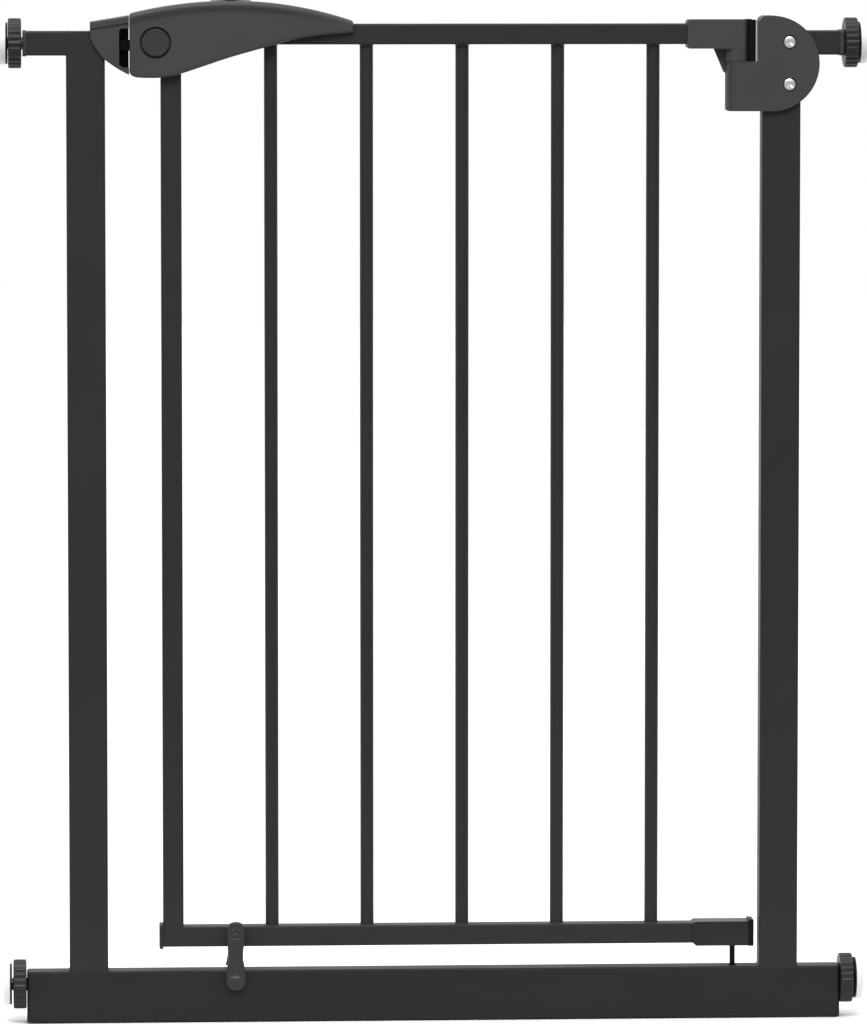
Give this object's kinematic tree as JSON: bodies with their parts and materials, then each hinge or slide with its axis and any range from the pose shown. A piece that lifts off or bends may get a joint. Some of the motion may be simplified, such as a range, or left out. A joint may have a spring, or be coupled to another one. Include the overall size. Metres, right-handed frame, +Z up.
{
  "type": "pressure fit safety gate",
  "caption": "Pressure-fit child safety gate: steel frame clamped between walls by screwed pads, with a barred swing door, latch handle and stopper.",
  "frame": {"origin": "middle of the gate, on the underside of the bottom bar", "axes": "+X to the right along the bottom bar, +Y away from the viewer, +Z up"},
  "size_m": [0.65, 0.0374, 0.7708],
  "materials": {
    "frame_paint": "satin powder coat",
    "housing_plastic": "fine textured moulded plastic",
    "plug_plastic": "moulded plastic, black",
    "dark_grey_plastic": "moulded plastic, dark grey",
    "black_steel": "black oxide",
    "bright_steel": "bright zinc plating",
    "spring_steel": "drawn spring wire",
    "zinc_steel": "zinc plated",
    "pad_rubber": "soft non-marking rubber"
  },
  "bodies": {
    "frame": {"bottom_bar": "frame_paint", "left_post": "frame_paint", "right_post": "frame_paint", "left_top_stub": "frame_paint", "right_top_stub": "frame_paint", "top_stub_plugs": "plug_plastic", "bottom_bar_plugs": "plug_plastic", "catch_housing": "housing_plastic", "catch_liner": "plug_plastic", "catch_screw": "bright_steel", "hinge_housing_front": "housing_plastic", "hinge_housing_rear": "housing_plastic", "hinge_screws": "bright_steel", "torsion_spring": "spring_steel", "bottom_pivot_bush": "plug_plastic"},
    "hinge_sleeve": {"pivot_sleeve": "zinc_steel"},
    "door": {"top_rail": "frame_paint", "bottom_rail": "frame_paint", "latch_stile": "frame_paint", "rung_1": "frame_paint", "rung_2": "frame_paint", "rung_3": "frame_paint", "rung_4": "frame_paint", "rung_5": "frame_paint", "handle_front_shell": "housing_plastic", "handle_rear_shell": "housing_plastic", "handle_screws": "bright_steel", "bolt_spring": "spring_steel", "button_spring": "spring_steel", "hinge_bracket": "housing_plastic", "bracket_end_plug": "plug_plastic", "hinge_shaft": "zinc_steel", "bottom_bracket": "dark_grey_plastic", "bottom_pivot_pin": "black_steel", "rail_end_caps": "plug_plastic"},
    "latch": {"latch_bolt": "plug_plastic", "latch_link": "bright_steel", "thumb_slider": "housing_plastic"},
    "front_push": {"front_button": "housing_plastic"},
    "rear_push": {"rear_button": "housing_plastic"},
    "stopper": {"stopper_front_leg": "dark_grey_plastic", "stopper_rear_leg": "dark_grey_plastic", "stopper_pin": "bright_steel"},
    "wheel_top_left": {"wheel_top_left": "dark_grey_plastic"},
    "spindle_top_left": {"spindle_top_left": "zinc_steel", "pad_cup_top_left": "dark_grey_plastic", "rubber_pad_top_left": "pad_rubber"},
    "wheel_top_right": {"wheel_top_right": "dark_grey_plastic"},
    "spindle_top_right": {"spindle_top_right": "zinc_steel", "pad_cup_top_right": "dark_grey_plastic", "rubber_pad_top_right": "pad_rubber"},
    "wheel_bottom_left": {"wheel_bottom_left": "dark_grey_plastic"},
    "spindle_bottom_left": {"spindle_bottom_left": "zinc_steel", "pad_cup_bottom_left": "dark_grey_plastic", "rubber_pad_bottom_left": "pad_rubber"},
    "wheel_bottom_right": {"wheel_bottom_right": "dark_grey_plastic"},
    "spindle_bottom_right": {"spindle_bottom_right": "zinc_steel", "pad_cup_bottom_right": "dark_grey_plastic", "rubber_pad_bottom_right": "pad_rubber"}
  },
  "joints": [
    {"name": "door_swing", "type": "hinge", "parent": "frame", "child": "hinge_sleeve", "pos_m": [0.2265, 0, 0.7], "axis": [0, 0, 1], "range_deg": [0, 90], "stiffness_Nm_per_rad": 0.25, "springref_deg": -34.38},
    {"name": "door_lift", "type": "slide", "parent": "hinge_sleeve", "child": "door", "axis": [0, 0, 1], "range_m": [0, 0.0055]},
    {"name": "latch_draw", "type": "slide", "parent": "door", "child": "latch", "axis": [1, 0, 0], "range_m": [0, 0.008], "stiffness_N_per_m": 250, "springref_m": -0.006, "deforming": ["bolt_spring"]},
    {"name": "front_button_press", "type": "slide", "parent": "door", "child": "front_push", "axis": [0, 1, 0], "range_m": [0, 0.003], "stiffness_N_per_m": 300, "springref_m": -0.003, "deforming": ["button_spring"]},
    {"name": "rear_button_press", "type": "slide", "parent": "door", "child": "rear_push", "axis": [0, -1, 0], "range_m": [0, 0.003], "stiffness_N_per_m": 300, "springref_m": -0.003},
    {"name": "stopper_turn", "type": "hinge", "parent": "door", "child": "stopper", "pos_m": [-0.15, 0, 0.066], "axis": [0, 1, 0], "range_deg": [0, 180]},
    {"name": "wheel_turn_top_left", "type": "hinge", "parent": "frame", "child": "wheel_top_left", "pos_m": [-0.3136, 0, 0.7366], "axis": [-1, 0, 0], "range_deg": [0, 4321]},
    {"name": "pad_feed_top_left", "type": "slide", "parent": "frame", "child": "spindle_top_left", "axis": [-1, 0, 0], "range_m": [0, 0.018]},
    {"name": "wheel_turn_top_right", "type": "hinge", "parent": "frame", "child": "wheel_top_right", "pos_m": [0.3136, 0, 0.7366], "axis": [1, 0, 0], "range_deg": [0, 4321]},
    {"name": "pad_feed_top_right", "type": "slide", "parent": "frame", "child": "spindle_top_right", "axis": [1, 0, 0], "range_m": [0, 0.018]},
    {"name": "wheel_turn_bottom_left", "type": "hinge", "parent": "frame", "child": "wheel_bottom_left", "pos_m": [-0.3136, 0, 0.0285], "axis": [-1, 0, 0], "range_deg": [0, 4321]},
    {"name": "pad_feed_bottom_left", "type": "slide", "parent": "frame", "child": "spindle_bottom_left", "axis": [-1, 0, 0], "range_m": [0, 0.018]},
    {"name": "wheel_turn_bottom_right", "type": "hinge", "parent": "frame", "child": "wheel_bottom_right", "pos_m": [0.3136, 0, 0.0285], "axis": [1, 0, 0], "range_deg": [0, 4321]},
    {"name": "pad_feed_bottom_right", "type": "slide", "parent": "frame", "child": "spindle_bottom_right", "axis": [1, 0, 0], "range_m": [0, 0.018]}
  ],
  "couplings": [
    {"joint": "wheel_turn_top_left", "follows": "pad_feed_top_left", "rad_per_m": 4188.8},
    {"joint": "wheel_turn_top_right", "follows": "pad_feed_top_right", "rad_per_m": 4188.8},
    {"joint": "wheel_turn_bottom_left", "follows": "pad_feed_bottom_left", "rad_per_m": 4188.8},
    {"joint": "wheel_turn_bottom_right", "follows": "pad_feed_bottom_right", "rad_per_m": 4188.8}
  ]
}
